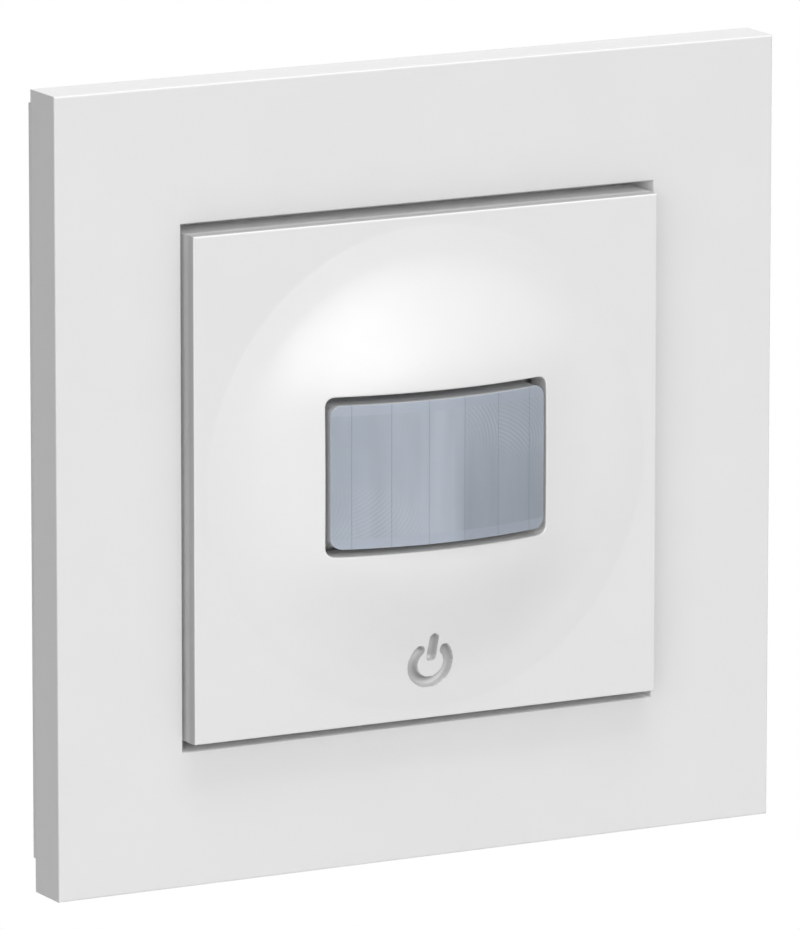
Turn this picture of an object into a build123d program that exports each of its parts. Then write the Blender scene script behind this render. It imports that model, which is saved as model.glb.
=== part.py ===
from build123d import *
import math
import os

# Motion sensor light switch for a flush-mounted wall box.
# +X is to the right, +Y into the wall and +Z up. The origin is the centre of the
# support ring's back face, on the surface of the wall. Outlines are drawn in X and Z.
# A height is a distance in front of the wall, so what lies in the box has a negative one.
# Lengths are in millimetres, angles in degrees.

# Cover frame
frame_side = 85.0
frame_height = 10.7
frame_body = 5.5
frame_front_wall = 2.4
frame_side_wall = 2.2
frame_edge_radius = 0.2
aperture_side = 56.0
collar_wall = 1.4
frame_rib_thickness = 1.0
frame_rib_pitch = 19.0
frame_rib_count = 4

# Frame carrier, the stepped-back inner frame
carrier_step = 2.3
carrier_wall = 2.0
carrier_nesting = 1.0
carrier_fit = 0.1
web_thickness = 1.4
web_lip = 2.5
snap_width = 6.0
snap_thickness = 1.2
snap_pitch = 38.0
snap_nose = 0.6
snap_reach = 4.0
snap_nose_length = 1.1

# Key plate, which rocks about the hinge behind its upper edge
key_side_gap = 0.5
key_end_gap = 1.05
key_stand = 1.85
key_skirt = 6.15
key_side_wall = 1.5
key_front_wall = 1.6
key_edge_radius = 0.2
dome_edge_margin = 0.95
dome_rise = 3.9
dome_side_radius = 45.0
dome_upright_radius = 400.0
dome_rim_width = 2.8
dome_rim_slope = 0.08
dome_crown_power = 4
dome_crown_margin = 0.3
dome_grid_count = 27
dome_blank_margin = 0.6
dome_sheet_margin = 1.0
dome_hollow_inset = 2.0
window_width = 26.2
window_tall = 17.0
window_up = 0.47
window_corner_radius = 1.0
window_collar_wall = 1.2
window_collar_depth = 1.4

# Power symbol, pressed into the dome below the window
symbol_down = 20.9
symbol_ring_radius = 2.1
symbol_stroke = 1.0
symbol_depth = 0.7
symbol_bar_low = 0.85
symbol_bar_high = 2.8
symbol_gap_angle = 44.0

# Key hinge, return springs and stops
hinge_inset = 2.85
hinge_back = 4.95
hinge_side_inset = 8.9
trunnion_radius = 1.2
trunnion_length = 6.2
hook_width = 5.4
hook_wall = 1.15
hook_neck = 3.2
hook_mouth = 2.1
running_fit = 0.05
cheek_thickness = 1.2
cheek_tall = 4.2
stop_inset = 12.0
stop_width = 4.0
stop_length = 1.45
stop_thickness = 1.0
stop_room = 0.4
leaf_side_inset = 9.0
leaf_inset = 4.05
leaf_length = 9.0
leaf_width = 3.2
leaf_thickness = 0.25
leaf_seat_depth = 0.3
leaf_seat_margin = 0.5
leaf_flat_share = 0.16
leaf_crown_share = 0.2

# Fresnel lens
lens_side_gap = 0.45
lens_end_gap = 0.85
lens_rise = 4.35
lens_radius = 38.0
lens_wall = 0.8
lens_corner_radius = 1.2
lens_flange = 1.2
lens_fit = 0.15
lens_facet = 4.22
lens_facet_count = 7

# Sensor module
module_wall = 1.2
module_side_gap = 0.6
module_top_wall_drop = 2.8
module_depth = 4.1
module_floor = 1.0
flange_thickness = 1.2
flange_side_gap = 1.2
flange_end_gap = 1.5
module_passage_gap = 0.3
sensor_board_thickness = 1.2
sensor_board_lift = 1.2
sensor_board_gap = 0.6
module_screw_radius = 1.0
module_screw_head_radius = 1.9
module_screw_head = 1.1
module_screw_inset = 5.5
module_screw_up = 2.0
screw_boss_wall = 1.4
screw_fit = 0.03
hole_clearance = 0.15
leg_width = 8.0
leg_thickness = 1.2
leg_gap = 0.4
leg_nose = 1.2
leg_reach = 1.5
leg_play = 0.1
slip_gap = 0.3

# Parts on the sensor board
can_radius = 4.55
can_rim_radius = 4.9
can_rim = 0.4
can_height = 4.2
can_spacer = 0.5
can_spacer_radius = 4.4
filter_width = 4.0
filter_tall = 3.0
filter_thickness = 0.25
lead_radius = 0.23
lead_circle_radius = 2.54
lead_tail = 0.8
lead_hole_radius = 0.4
light_part_side = 2.0
light_part_height = 1.0
light_part_out = 9.5
light_part_down = 3.0
switch_inset = 5.25
switch_side = 5.2
switch_height = 3.3
plunger_radius = 1.4
plunger_stand = 1.7
plunger_engaged = 1.5
plunger_gap = 0.3
pusher_radius = 1.6
pusher_hole_radius = 2.1
trimmer_side_inset = 11.0
trimmer_inset = 10.95
trimmer_side = 7.0
trimmer_height = 2.0
dial_radius = 3.0
dial_thickness = 2.1
dial_shaft_radius = 1.0
dial_shaft_engaged = 1.3
dial_slot_width = 0.8
dial_slot_depth = 0.8
chip_side = 6.0
chip_height = 1.2
chip_inset = 11.95
board_can_radius = 2.0
board_can_height = 3.0
board_can_out = 9.0
plug_down = 9.0
plug_width = 13.6
plug_tall = 2.6
plug_stand = 0.4
plug_pin_count = 5
plug_pin_pitch = 2.54
plug_pin_side = 0.6
plug_pin_depth = 3.2
plug_pin_end = 0.6
plug_pin_fit = 0.02

# Support ring
ring_side = 71.0
ring_thickness = 1.2
ring_corner_cut = 12.0
ring_opening = 38.0
ring_opening_radius = 4.0
box_hole_spacing = 60.0
box_slot_width = 4.2
box_slot_length = 7.0
ring_screw_radius = 1.25
ring_screw_head_radius = 2.0
ring_screw_out = 8.0
ring_screw_up = 21.6
ring_screw_length = 9.8

# Insert in the wall box
insert_across = 50.0
insert_depth = 24.0
insert_wall = 1.6
insert_mouth_wall = 1.0
insert_floor = 1.6
lid_drop = 2.0
lid_thickness = 1.5
lid_fit = 0.2
lid_pillar_wall = 0.9
power_board_side = 40.4
power_board_tall = 38.4
power_board_corner_cut = 7.0
power_board_thickness = 1.2
power_board_drop = 5.2
socket_width = 14.0
socket_tall = 4.4
socket_drop = 0.4
socket_hole_side = 0.9
socket_hole_depth = 4.0
socket_passage_gap = 0.3
post_width = 4.0
post_thickness = 1.5
post_out = 15.5
post_up = 13.5

# Parts on the power board
relay_width = 20.0
relay_tall = 9.6
relay_height = 15.0
relay_left = 17.5
relay_up = 3.5
film_width = 13.0
film_tall = 6.0
film_height = 11.0
film_out = 11.5
film_down = 4.6
storage_radius = 4.0
storage_height = 11.5
storage_out = 11.0
storage_up = 8.0
choke_radius = 4.5
choke_core_radius = 1.8
choke_height = 8.0
choke_flange = 1.0
choke_winding_wall = 1.9
choke_out = 8.0
choke_up = 6.2
varistor_radius = 3.6
varistor_thickness = 2.4
varistor_up = 15.5
fuse_radius = 1.3
fuse_length = 8.0
fuse_out = 8.5
fuse_up = 16.5
part_lift = 0.3

# Terminal block with push-in clamps
terminal_count = 4
terminal_pitch = 6.2
terminal_bottom = 19.5
terminal_split = 14.9
terminal_top = 9.5
terminal_depth = 13.6
terminal_gap = 0.15
cell_gap = 0.1
wire_hole_radius = 1.35
wire_hole_depth = 10.0
wire_down = 16.9
release_side = 3.0
release_gap = 0.2
release_stand = 1.2
release_length = 9.2
release_down = 12.2
release_room = 12.4
clamp_width = 2.6
clamp_height = 3.0
clamp_thickness = 0.3
clamp_span = 2.8

# Spreading claws and their screws
claw_screw_radius = 1.5
claw_screw_head_radius = 2.1
claw_screw_head = 1.0
claw_screw_slot = 0.6
claw_screw_slot_depth = 0.5
claw_screw_length = 13.0
claw_screw_out = 25.8
claw_up = 5.2
claw_width = 7.0
claw_sheet = 1.2
claw_outer_sheet = 1.0
claw_out = 28.6
claw_length = 14.8
claw_pivot_out = 23.9
claw_pivot_depth = 4.6
claw_ear_radius = 1.5
claw_pin_radius = 0.9
claw_pin_fit = 0.06
claw_foot_drop = 1.1
claw_foot_inset = 1.0
claw_slot_length = 4.4
claw_slot_width = 3.6
claw_tooth = 0.7
claw_tooth_count = 3
claw_tail_inset = 1.7
claw_shoulder_depth = 3.4
pocket_floor_out = 22.0
pocket_wall = 1.2
pocket_depth = 20.5
pocket_gap = 0.3

# One overrun for every cut that has to pass a face
overrun = 1.0

# Widths worked out from the values above
key_width = aperture_side - 2 * key_side_gap
key_tall = aperture_side - 2 * key_end_gap
dome_radius = key_tall / 2 - dome_edge_margin
web_opening = aperture_side - 2 * web_lip
lens_width = window_width - 2 * lens_side_gap
lens_tall = window_tall - 2 * lens_end_gap
terminal_width = terminal_count * terminal_pitch

# Heights worked out from the values above
frame_step = frame_height - frame_body
head_room = ring_thickness + claw_screw_head
web_low = head_room + slip_gap
web_high = web_low + web_thickness
flange_high = web_high + flange_thickness
key_front = frame_height + key_stand
key_under = key_front - key_front_wall
key_low = key_front - key_skirt
hinge_height = key_front - hinge_back
module_face = flange_high + module_depth
module_ceiling = module_face - module_wall
floor_high = ring_thickness + module_floor
board_low = floor_high + sensor_board_lift
board_high = board_low + sensor_board_thickness
lens_apex = key_front + lens_rise
insert_low = -insert_depth
insert_floor_high = insert_low + insert_floor
lid_high = -lid_drop
lid_low = lid_high - lid_thickness
power_high = -power_board_drop
power_low = power_high - power_board_thickness
plunger_top = board_high + switch_height + plunger_stand
terminal_high = insert_low + terminal_depth

# Half sizes that several pieces share
carrier_half = frame_side / 2 - carrier_step
collar_half = aperture_side / 2 + collar_wall
key_inner_x = key_width / 2 - key_side_wall
key_inner_z = key_tall / 2 - key_side_wall
hinge_up = key_inner_z - hinge_inset
hinge_out = key_inner_x - hinge_side_inset
stop_out = key_inner_x - stop_inset
leaf_out = key_inner_x - leaf_side_inset
leaf_down = key_inner_z - leaf_inset
module_top_wall_up = hinge_up - module_top_wall_drop
module_screw_out = key_inner_x - module_screw_inset
switch_down = key_inner_z - switch_inset
chip_up = key_inner_z - chip_inset
trimmer_out = key_inner_x - trimmer_side_inset
trimmer_down = key_inner_z - trimmer_inset
module_half_x = key_inner_x - module_side_gap
module_bottom = key_inner_z - module_side_gap
passage_half = web_opening / 2 - module_passage_gap
cavity_half_x = module_half_x - module_wall
cavity_bottom = module_bottom - module_wall
cavity_top = module_top_wall_up - module_wall


def level(height):
    """The X-Z plane at a height in front of the wall, facing the room."""
    return Plane(origin=(0, -height, 0), x_dir=(1, 0, 0), z_dir=(0, -1, 0))


def slab(outline, low, high):
    """An X-Z outline drawn out between two heights in front of the wall."""
    return extrude(level(low) * outline, amount=high - low)


def area(left, right, bottom, top):
    """A rectangle in X and Z between four edges."""
    return Pos((left + right) / 2, (bottom + top) / 2) * Rectangle(right - left, top - bottom)


def disc(x, z, radius):
    """A circle in X and Z."""
    return Pos(x, z) * Circle(radius)


def side_profile(points, left, right):
    """A closed outline of (z, height) points drawn out along X."""
    face = Plane(origin=(left, 0, 0), x_dir=(0, 0, 1), z_dir=(-1, 0, 0)) * make_face(
        Polyline(*[(z, -height) for z, height in points], close=True)
    )
    return extrude(face, amount=right - left, dir=(1, 0, 0))


def side_disc(z, height, radius, left, right):
    """A round bar along X."""
    face = Plane(origin=(left, 0, 0), x_dir=(0, 0, 1), z_dir=(-1, 0, 0)) * disc(z, -height, radius)
    return extrude(face, amount=right - left, dir=(1, 0, 0))


def upright_profile(points, bottom, top):
    """A closed outline of (x, height) points drawn out along Z."""
    face = Plane(origin=(0, 0, bottom), x_dir=(1, 0, 0), z_dir=(0, 0, 1)) * make_face(
        Polyline(*[(x, -height) for x, height in points], close=True)
    )
    return extrude(face, amount=top - bottom, dir=(0, 0, 1))


def upright_disc(x, height, radius, bottom, top):
    """A round bar along Z."""
    face = Plane(origin=(0, 0, bottom), x_dir=(1, 0, 0), z_dir=(0, 0, 1)) * disc(x, -height, radius)
    return extrude(face, amount=top - bottom, dir=(0, 0, 1))


def half_turn(shape):
    """The same shape on the other side of the device."""
    return shape.rotate(Axis.Y, 180)


def octagon(across):
    """The insert's outline, with a flat on each side."""
    return RegularPolygon(across / 2, 8, major_radius=False, rotation=180 / 8)


def cover_frame():
    """The square frame, hollow behind, with a collar round its aperture."""
    shell = slab(Rectangle(frame_side, frame_side), frame_step, frame_height)
    front_edges = [edge for edge in shell.edges() if edge.bounding_box().max.Y < -frame_step - overrun]
    shell = fillet(front_edges, frame_edge_radius)
    inner = frame_side - 2 * frame_side_wall
    hollow = Rectangle(inner, inner) - Rectangle(2 * collar_half, 2 * collar_half)
    shell -= slab(hollow, frame_step, frame_height - frame_front_wall)
    shell += slab(Rectangle(2 * collar_half, 2 * collar_half), web_high, frame_height - frame_front_wall)
    shell += frame_ribs(inner / 2)
    aperture = Rectangle(aperture_side, aperture_side)
    shell -= slab(aperture, web_high - overrun, frame_height + overrun)
    rim = [
        edge
        for edge in shell.edges()
        if abs(edge.center().Y + frame_height) < frame_edge_radius / 2
        and edge.bounding_box().max.X <= aperture_side / 2 + frame_edge_radius / 2
        and edge.bounding_box().min.X >= -aperture_side / 2 - frame_edge_radius / 2
        and edge.bounding_box().max.Z <= aperture_side / 2 + frame_edge_radius / 2
        and edge.bounding_box().min.Z >= -aperture_side / 2 - frame_edge_radius / 2
    ]
    shell = chamfer(rim, frame_edge_radius / 2)
    for place in snap_places():
        shell -= place * snap_pocket()
    return shell


def frame_ribs(reach):
    """Short ribs that tie the collar to the frame's outer wall."""
    ribs = Part()
    first = -frame_rib_pitch * (frame_rib_count - 1) / 2
    start = collar_half - collar_wall / 2
    stop = reach + frame_side_wall / 2
    for index in range(frame_rib_count):
        across = first + index * frame_rib_pitch
        rib = area(across - frame_rib_thickness / 2, across + frame_rib_thickness / 2, start, stop)
        web = slab(rib, frame_step + carrier_nesting + slip_gap, frame_height - frame_front_wall)
        for turn in range(4):
            ribs += web.rotate(Axis.Y, 90 * turn)
    return ribs


def snap_places():
    """The places of the eight snaps, as turns about the frame's axis and shifts along a side."""
    places = []
    for turn in range(4):
        for side in (-1, 1):
            places.append(Rot(0, 90 * turn, 0) * Pos(side * snap_pitch / 2, 0, 0))
    return places


def snap_points(grow):
    """The snap's outline in Z and height, grown by a clearance for its pocket."""
    back = collar_half + carrier_fit
    top = web_high + snap_reach
    nose_low = top - snap_nose_length
    tip = back - snap_nose
    return [
        (back + snap_thickness, web_high),
        (back, web_high),
        (back, nose_low - grow),
        (tip - grow, nose_low - grow),
        (tip - grow, nose_low + snap_nose_length / 4),
        (back, top + grow),
        (back + snap_thickness, top + grow),
    ]


def snap():
    """A springy hook that stands on the carrier and catches in the collar."""
    return side_profile(snap_points(0), -snap_width / 2, snap_width / 2)


def snap_pocket():
    """The pocket in the collar for a snap's nose."""
    reach = snap_width / 2 + carrier_fit
    return side_profile(snap_points(carrier_fit), -reach, reach)


def frame_carrier():
    """The inner frame: a rim that stands on the wall and a web that the module clamps."""
    rim = Rectangle(2 * carrier_half, 2 * carrier_half)
    inside = Rectangle(2 * (carrier_half - carrier_wall), 2 * (carrier_half - carrier_wall))
    body = slab(rim - inside, 0, frame_step + carrier_nesting)
    body += slab(rim - Rectangle(web_opening, web_opening), web_low, web_high)
    for place in snap_places():
        body += place * snap()
    return body


def crown_height(x, z):
    """The crown above the plate's front: curved across like the lens, nearly straight up and down."""
    return dome_rise - x * x / (2 * dome_side_radius) - z * z / (2 * dome_upright_radius)


def dome_height(x, z):
    """The dome above the plate's front: crown, an S-shaped flank and a shallow conical rim."""
    reach = math.hypot(x, z)
    if reach == 0:
        return dome_rise
    across, up = x / reach, z / reach
    half_x = window_width / 2 + dome_crown_margin
    half_z = window_tall / 2 + window_up + dome_crown_margin
    power = dome_crown_power
    crown_edge = ((abs(across) / half_x) ** power + (abs(up) / half_z) ** power) ** (-1 / power)
    if reach <= crown_edge:
        return crown_height(x, z)
    if reach >= dome_radius - dome_rim_width:
        return (dome_radius - reach) * dome_rim_slope
    edge_x, edge_z = across * crown_edge, up * crown_edge
    start = crown_height(edge_x, edge_z)
    start_slope = -(edge_x**2 / dome_side_radius + edge_z**2 / dome_upright_radius) / crown_edge
    end = dome_rim_width * dome_rim_slope
    span = dome_radius - dome_rim_width - crown_edge
    t = (reach - crown_edge) / span
    rise = (2 * t**3 - 3 * t**2 + 1) * start + (3 * t**2 - 2 * t**3) * end
    lean = (t**3 - 2 * t**2 + t) * start_slope - (t**3 - t**2) * dome_rim_slope
    return rise + lean * span


def dome_sheet(sink):
    """The dome's surface as one smooth face, sunk below the outer one by an amount."""
    half = dome_radius + dome_sheet_margin
    steps = [half * (2 * index / (dome_grid_count - 1) - 1) for index in range(dome_grid_count)]
    points = [[Vector(x, sink - key_front - dome_height(x, z), z) for z in steps] for x in steps]
    return Face.make_surface_from_array_of_points(points, min_deg=3, max_deg=3)


def under_dome(sink):
    """Everything below the dome's surface, down past the key's front wall."""
    return extrude(dome_sheet(sink), amount=dome_rise + key_skirt, dir=(0, 1, 0))


def key_plate():
    """The domed key: skirt, window with its collar, hinge hooks, stops and pusher."""
    body = slab(Rectangle(key_width, key_tall), key_low, key_front)
    front_edges = [edge for edge in body.edges() if edge.bounding_box().max.Y < -key_under]
    body = fillet(front_edges, key_edge_radius)
    solid_dome = under_dome(0)
    blank = slab(Circle(dome_radius + dome_blank_margin), key_under, lens_apex + overrun)
    body += solid_dome & blank
    hollow = Rectangle(2 * key_inner_x, 2 * key_inner_z)
    body -= slab(hollow, key_low - overrun, key_under)
    crown_room = slab(Circle(dome_radius - dome_hollow_inset), key_under - overrun, lens_apex + overrun)
    body -= under_dome(key_front_wall) & crown_room
    window = Pos(0, window_up) * RectangleRounded(window_width, window_tall, window_corner_radius)
    collar = Pos(0, window_up) * RectangleRounded(
        window_width + 2 * window_collar_wall,
        window_tall + 2 * window_collar_wall,
        window_corner_radius + window_collar_wall,
    )
    body += slab(collar, key_front - window_collar_depth, lens_apex) & solid_dome
    body -= slab(window, key_low, lens_apex + overrun)
    body -= power_symbol()
    for side in (-1, 1):
        body += hinge_hook(side * hinge_out)
        body += stop_lug(side * stop_out)
    body += slab(disc(0, -switch_down, pusher_radius), plunger_top + plunger_gap, key_front)
    return body


def power_symbol():
    """The groove of the power symbol: a ring open at the top, and an upright bar."""
    ring = Circle(symbol_ring_radius + symbol_stroke / 2) - Circle(symbol_ring_radius - symbol_stroke / 2)
    lean = math.radians(symbol_gap_angle)
    far = 2 * symbol_ring_radius
    wedge = make_face(
        Polyline((0, 0), (-far * math.sin(lean), far * math.cos(lean)),
                 (far * math.sin(lean), far * math.cos(lean)), close=True)
    )
    ring -= wedge
    for side in (-1, 1):
        ring += disc(
            side * symbol_ring_radius * math.sin(lean),
            symbol_ring_radius * math.cos(lean),
            symbol_stroke / 2,
        )
    ring += area(-symbol_stroke / 2, symbol_stroke / 2, symbol_bar_low, symbol_bar_high)
    for end in (symbol_bar_low, symbol_bar_high):
        ring += disc(0, end, symbol_stroke / 2)
    groove = slab(Pos(0, -symbol_down) * ring, key_front - symbol_depth, lens_apex)
    return groove - under_dome(symbol_depth)


def hinge_hook(x):
    """A hook that snaps over a trunnion from the front, open towards the wall."""
    left, right = x - hook_width / 2, x + hook_width / 2
    outer = trunnion_radius + running_fit + hook_wall
    hook = side_disc(hinge_up, hinge_height, outer, left, right)
    half = hook_neck / 2
    neck = [
        (hinge_up - half, hinge_height),
        (hinge_up + half, hinge_height),
        (hinge_up + half, key_front - key_front_wall / 2),
        (hinge_up - half, key_front - key_front_wall / 2),
    ]
    hook += side_profile(neck, left, right)
    hook -= side_disc(hinge_up, hinge_height, trunnion_radius + running_fit, left, right)
    half = hook_mouth / 2
    mouth = [
        (hinge_up - half, hinge_height),
        (hinge_up + half, hinge_height),
        (hinge_up + half, hinge_height - outer),
        (hinge_up - half, hinge_height - outer),
    ]
    return hook - side_profile(mouth, left, right)


def stop_lug(x):
    """A lug inside the lower skirt that keeps the key from swinging out."""
    bottom = -key_inner_z - key_side_wall / 2
    lug = area(x - stop_width / 2, x + stop_width / 2, bottom, -key_inner_z + stop_length)
    return slab(lug, key_low, key_low + stop_thickness)


def key_spring(x):
    """A bowed leaf between the module and the key."""
    flat = leaf_length * leaf_flat_share
    crown = leaf_length * leaf_crown_share
    low = module_face - leaf_seat_depth
    outer = [
        (-leaf_length / 2, low),
        (-leaf_length / 2 + flat, low),
        (-crown / 2, key_under - leaf_thickness),
        (crown / 2, key_under - leaf_thickness),
        (leaf_length / 2 - flat, low),
        (leaf_length / 2, low),
    ]
    points = [(x + across, height) for across, height in outer]
    points += [(x + across, height + leaf_thickness) for across, height in reversed(outer)]
    bottom = -leaf_down - leaf_width / 2
    return upright_profile(points, bottom, bottom + leaf_width)


def lens_outline(grow):
    """The lens's rounded rectangle, grown or shrunk all round."""
    radius = max(lens_corner_radius + grow, lens_wall / 2)
    shape = RectangleRounded(lens_width + 2 * grow, lens_tall + 2 * grow, radius)
    return Pos(0, window_up) * shape


def lens_arc_height(x, sink):
    """The height of the lens's curved front, or of a surface sunk below it."""
    radius = lens_radius - sink
    return lens_apex - lens_radius + math.sqrt(radius**2 - x**2)


def fresnel_lens():
    """A curved cap with seven flats on its inner face and a flange that holds it."""
    low = module_ceiling - lens_wall
    bottom = window_up - lens_tall
    top = window_up + lens_tall
    front = upright_disc(0, lens_apex - lens_radius, lens_radius, bottom, top)
    cap = slab(lens_outline(0), low, lens_apex + overrun) & front
    cap += slab(lens_outline(lens_flange), low, module_ceiling)
    edges = [lens_facet * (index - lens_facet_count / 2) for index in range(lens_facet_count + 1)]
    points = [(x, lens_arc_height(x, lens_wall)) for x in edges]
    points += [(edges[-1], low - overrun), (edges[0], low - overrun)]
    facets = upright_profile(points, bottom, top)
    return cap - (slab(lens_outline(-lens_wall), low - overrun, lens_apex) & facets)


def screw_places():
    """Where the module's two screws stand, left and right of the lens."""
    return [(side * module_screw_out, module_screw_up) for side in (-1, 1)]


def module_front():
    """The module's front shell, with the lens opening, dials' holes and the key's trunnions."""
    outline = area(-module_half_x, module_half_x, -module_bottom, module_top_wall_up)
    body = slab(outline, flange_high, module_face)
    rim = [edge for edge in body.edges() if edge.bounding_box().max.Y < -module_ceiling]
    body = chamfer(rim, module_wall / 2)
    inside = area(-cavity_half_x, cavity_half_x, -cavity_bottom, cavity_top)
    body -= slab(inside, flange_high, module_ceiling)
    for x, z in screw_places():
        boss_radius = module_screw_radius + screw_boss_wall
        body += slab(disc(x, z, boss_radius), board_high, module_ceiling + module_wall / 2)
        body -= slab(disc(x, z, module_screw_radius + screw_fit), board_high, module_ceiling)
    body -= slab(lens_outline(lens_fit), module_ceiling, module_face + overrun)
    for side in (-1, 1):
        hole = disc(side * trimmer_out, -trimmer_down, dial_radius + slip_gap)
        body -= slab(hole, module_ceiling, module_face + overrun)
        body -= slab(leaf_seat(side), module_face - leaf_seat_depth, module_face)
        body -= stop_slot(side)
        body += trunnion_mount(side)
    body -= slab(disc(0, -switch_down, pusher_hole_radius), module_ceiling, module_face + overrun)
    return body


def leaf_seat(side):
    """The shallow recess that a leaf spring lies in."""
    length = leaf_length + 2 * leaf_seat_margin
    return Pos(side * leaf_out, -leaf_down) * Rectangle(length, leaf_width + 2 * leaf_seat_margin)


def stop_slot(side):
    """The slot in the lower wall that a stop lug travels in."""
    half = stop_width / 2 + stop_room
    x = side * stop_out
    slot = area(x - half, x + half, -module_bottom - overrun, -cavity_bottom + overrun)
    return slab(slot, flange_high, key_low + stop_thickness + stop_room)


def trunnion_mount(side):
    """Two cheeks on the upper wall with a trunnion between them."""
    inner = hinge_out - trunnion_length / 2
    outer = hinge_out + trunnion_length / 2
    top = module_top_wall_up + cheek_tall
    pin = side_disc(hinge_up, hinge_height, trunnion_radius, inner - cheek_thickness / 2,
                    outer + cheek_thickness / 2)
    shape = pin
    for left in (inner - cheek_thickness, outer):
        cheek = area(left, left + cheek_thickness, module_top_wall_up - module_wall / 2, top)
        shape += slab(cheek, flange_high, module_face - module_wall)
    return shape if side > 0 else shape.mirror(Plane.YZ)


def module_back():
    """The module's rear tray: it clamps the carrier's web and snaps into the support ring."""
    flange_x = aperture_side / 2 - flange_side_gap
    flange_z = aperture_side / 2 - flange_end_gap
    body = slab(area(-passage_half, passage_half, -passage_half, passage_half), ring_thickness, web_high)
    body += slab(area(-flange_x, flange_x, -flange_z, flange_z), web_high, flange_high)
    inside = area(-cavity_half_x, cavity_half_x, -cavity_bottom, cavity_top)
    body -= slab(inside, floor_high, flange_high)
    trough = area(-cavity_half_x, cavity_half_x, module_top_wall_up, passage_half - module_wall)
    body -= slab(trough, floor_high, flange_high)
    for x, z in screw_places():
        boss_radius = module_screw_head_radius + screw_boss_wall
        body += slab(disc(x, z, boss_radius), ring_thickness, board_low)
        head = disc(x, z, module_screw_head_radius + hole_clearance)
        body -= slab(head, ring_thickness, ring_thickness + module_screw_head + hole_clearance)
        body -= slab(disc(x, z, module_screw_radius + hole_clearance), ring_thickness, board_low)
    half_x = plug_width / 2 + socket_passage_gap
    half_z = plug_tall / 2 + socket_passage_gap
    plug = area(-half_x, half_x, -plug_down - half_z, -plug_down + half_z)
    body -= slab(plug, ring_thickness - overrun, floor_high + overrun)
    for side in (-1, 1):
        body += snap_leg(side)
        body -= claw_head_notch(side)
    return body


def snap_leg(side):
    """A leg through the ring's opening, with a nose behind the ring."""
    face = ring_opening / 2 - leg_gap
    tip = face + leg_nose
    points = [
        (face - leg_thickness, floor_high - module_floor / 2),
        (face, floor_high - module_floor / 2),
        (face, -leg_play),
        (tip, -leg_play - leg_nose / 4),
        (tip, -leg_play - leg_nose / 2),
        (face, -leg_reach),
        (face - leg_thickness, -leg_reach),
    ]
    leg = side_profile(points, -leg_width / 2, leg_width / 2)
    return leg if side > 0 else leg.mirror(Plane.XY)


def claw_head_notch(side):
    """Room in the tray's edge for the head of a claw screw."""
    reach = claw_screw_head_radius + 2 * slip_gap
    centre = (side * claw_screw_out, side * claw_up)
    notch = Pos(*centre) * Rectangle(2 * reach, 2 * reach)
    return slab(notch, ring_thickness - overrun, web_low + slip_gap)


def module_screws():
    """The two screws that draw the two shells together."""
    screws = []
    for x, z in screw_places():
        head_high = ring_thickness + module_screw_head
        head = slab(disc(x, z, module_screw_head_radius), ring_thickness + hole_clearance, head_high)
        shank = slab(disc(x, z, module_screw_radius), head_high, module_ceiling - module_wall / 2)
        recess = Pos(x, z) * RegularPolygon(module_screw_radius, 6)
        screws.append(head + shank - slab(recess, ring_thickness, ring_thickness + module_screw_head / 2))
    return Compound(screws)


def sensor_board():
    """The board in the module, with holes for screws, heat sensor legs and plug pins."""
    half_x = cavity_half_x - sensor_board_gap
    outline = area(-half_x, half_x, -cavity_bottom + sensor_board_gap, cavity_top - sensor_board_gap)
    board = slab(outline, board_low, board_high)
    holes = Sketch()
    for x, z in screw_places():
        holes += disc(x, z, module_screw_radius + hole_clearance)
    for x, z in lead_places():
        holes += disc(x, z, lead_hole_radius)
    for x in pin_places():
        holes += Pos(x, -plug_down) * Rectangle(socket_hole_side, socket_hole_side)
    return board - slab(holes, board_low - overrun, board_high + overrun)


def lead_places():
    """The three legs of the heat sensor, on their circle."""
    places = []
    for angle in (45, 135, 225):
        turn = math.radians(angle)
        x = lead_circle_radius * math.cos(turn)
        places.append((x, window_up + lead_circle_radius * math.sin(turn)))
    return places


def pin_places():
    """The plug's pins, side by side."""
    first = -plug_pin_pitch * (plug_pin_count - 1) / 2
    return [first + index * plug_pin_pitch for index in range(plug_pin_count)]


def pir_spacer():
    """The plastic ring that lifts the heat sensor off the board."""
    spacer = slab(disc(0, window_up, can_spacer_radius), board_high, board_high + can_spacer)
    for x, z in lead_places():
        spacer -= slab(disc(x, z, lead_hole_radius), board_high, board_high + can_spacer)
    return spacer


def pir_can():
    """The heat sensor's metal can with a rim and a recess for its window."""
    low = board_high + can_spacer
    can = slab(disc(0, window_up, can_rim_radius), low, low + can_rim)
    can += slab(disc(0, window_up, can_radius), low, low + can_height)
    top = can.edges().filter_by(GeomType.CIRCLE).sort_by(Axis.Y)[0]
    can = chamfer(top, can_rim)
    opening = Pos(0, window_up) * Rectangle(filter_width, filter_tall)
    return can - slab(opening, low + can_height - filter_thickness, low + can_height)


def pir_filter():
    """The dark window in the can's top."""
    high = board_high + can_spacer + can_height
    return slab(Pos(0, window_up) * Rectangle(filter_width, filter_tall), high - filter_thickness, high)


def pir_leads():
    """The heat sensor's three legs."""
    high = board_high + can_spacer
    return Compound([slab(disc(x, z, lead_radius), board_low - lead_tail, high) for x, z in lead_places()])


def light_part(side):
    """A small clear part on the board behind the lens."""
    place = Pos(side * light_part_out, -light_part_down)
    high = board_high + light_part_height
    body = slab(place * Rectangle(light_part_side, light_part_side), board_high, high)
    bead = slab(place * Circle(light_part_side / 4), board_high, high + part_lift)
    return body + bead


def switch_body():
    """The push switch's case, bored for its plunger."""
    place = Pos(0, -switch_down)
    high = board_high + switch_height
    body = slab(place * Rectangle(switch_side, switch_side), board_high, high)
    bore = slab(place * Circle(plunger_radius + running_fit), board_high + part_lift, high)
    return body - bore


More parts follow.
